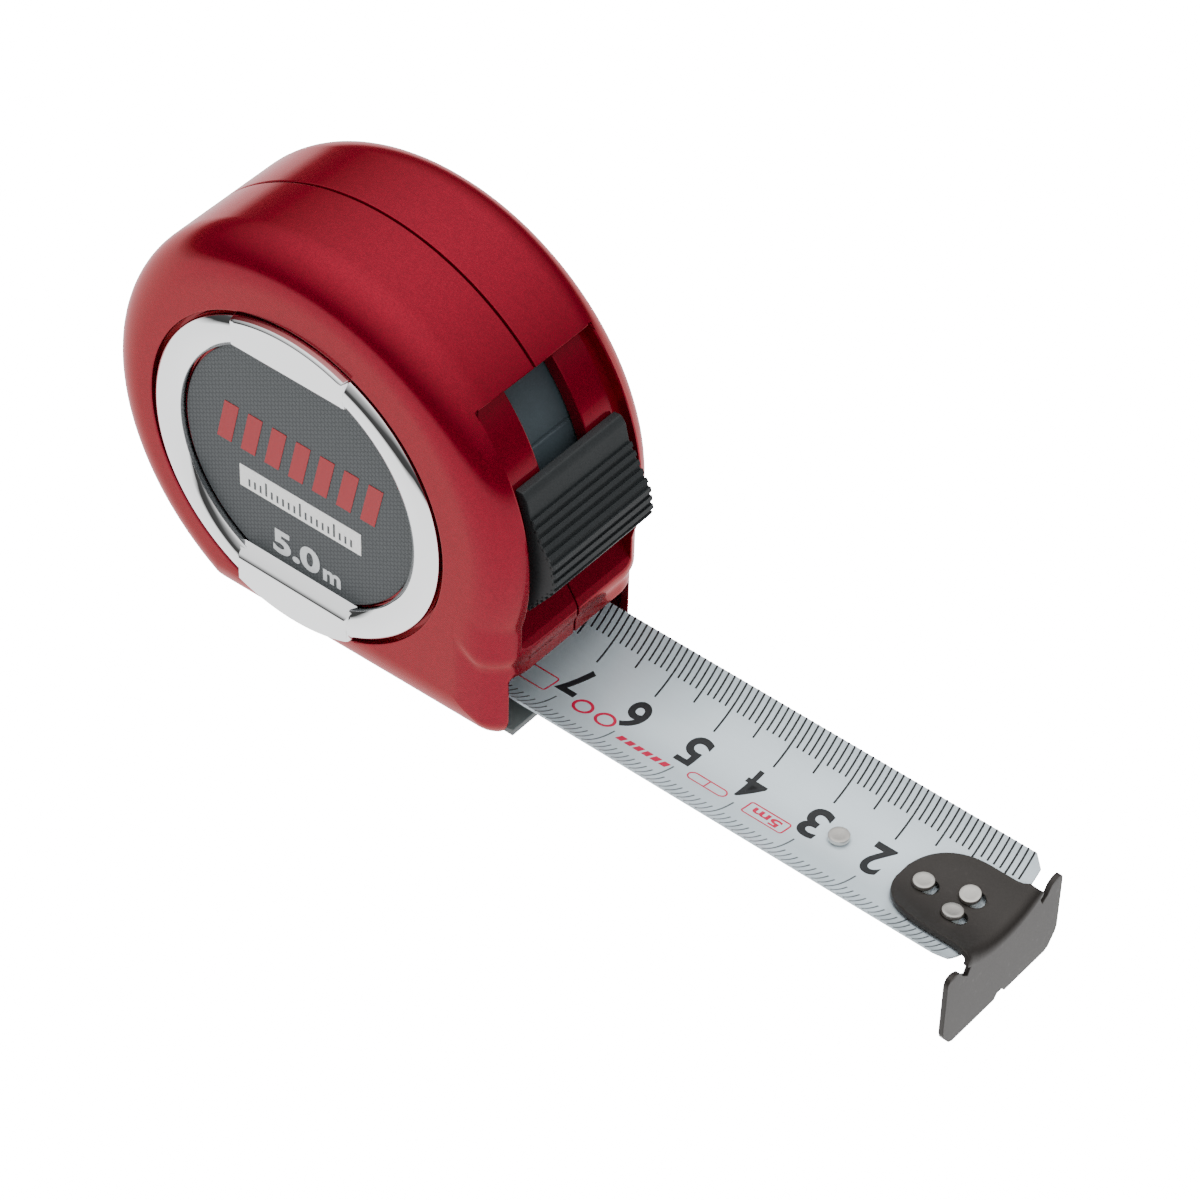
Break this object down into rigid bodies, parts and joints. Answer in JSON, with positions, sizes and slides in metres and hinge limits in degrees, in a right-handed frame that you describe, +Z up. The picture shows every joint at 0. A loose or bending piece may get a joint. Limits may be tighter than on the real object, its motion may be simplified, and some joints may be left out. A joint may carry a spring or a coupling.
{
  "type": "tape measure",
  "caption": "Pocket tape measure in a rounded two-shell case, with a hollow steel blade drawn out, end hook, thumb slide lock and belt clip.",
  "frame": {"origin": "centre of the underside of the whole tape's box, with the blade drawn out 70 mm; the hook plate's lower edge is the lowest point", "axes": "+X from the case towards the hook, along the blade; +Y across the blade towards the belt clip, with the badge on -Y; +Z up from the case's flat base"},
  "size_m": [0.1408, 0.0417, 0.0739],
  "materials": {
    "case_red": "glossy metallic red lacquered plastic",
    "chrome": "bright chrome plating",
    "badge_black": "satin charcoal print with a fine woven pattern",
    "guide_grey": "satin grey plastic",
    "lock_black": "satin black plastic with moulded ribs",
    "slate_plastic": "satin slate plastic",
    "brake_rubber": "matt rubber",
    "spring_steel": "rolled spring steel",
    "reel_plastic": "moulded plastic",
    "liner_film": "slippery film",
    "blade_enamel": "lacquered pale blade with black ticks and numbers",
    "black_steel": "black oxide steel with worn edges",
    "nickel": "nickel plated rivet",
    "clip_steel": "plated spring steel",
    "zinc_screw": "zinc plated steel"
  },
  "bodies": {
    "case": {"case_left": "case_red", "case_right": "case_red", "mouth_bumper": "guide_grey", "bezel_ring": "chrome", "label_disc": "badge_black", "centre_post": "reel_plastic", "power_spring": "spring_steel", "liner_left": "liner_film", "liner_right": "liner_film", "belt_clip": "clip_steel", "clip_screw": "zinc_screw", "case_screw_1": "zinc_screw", "case_screw_2": "zinc_screw", "case_screw_3": "zinc_screw", "case_screw_4": "zinc_screw"},
    "blade": {"blade": "blade_enamel", "hook_rivet_1": "nickel", "hook_rivet_2": "nickel", "hook_rivet_3": "nickel", "stop_rivet": "nickel"},
    "hook": {"end_hook": "black_steel"},
    "reel": {"blade_coil": "blade_enamel", "reel_drum": "reel_plastic", "drum_cover": "reel_plastic"},
    "lock": {"lock_button": "lock_black", "lock_arm": "slate_plastic", "brake_pad": "brake_rubber", "lock_spring": "spring_steel"}
  },
  "joints": [
    {"name": "blade_slide", "type": "slide", "parent": "case", "child": "blade", "axis": [1, 0, 0], "range_m": [-0.0688, 0], "deforming": ["blade"]},
    {"name": "hook_play", "type": "slide", "parent": "blade", "child": "hook", "axis": [1, 0, 0], "range_m": [-0.0009, 0]},
    {"name": "reel_spin", "type": "hinge", "parent": "case", "child": "reel", "pos_m": [-0.036, -0.0037, 0.0374], "axis": [0, 1, 0], "range_deg": [0, 156], "deforming": ["power_spring"]},
    {"name": "lock_slide", "type": "hinge", "parent": "case", "child": "lock", "pos_m": [-0.0348, -0.0037, 0.0383], "axis": [0, -1, 0], "range_deg": [0, 18]}
  ],
  "couplings": [
    {"joint": "reel_spin", "follows": "blade_slide", "rad_per_m": -39.37}
  ]
}
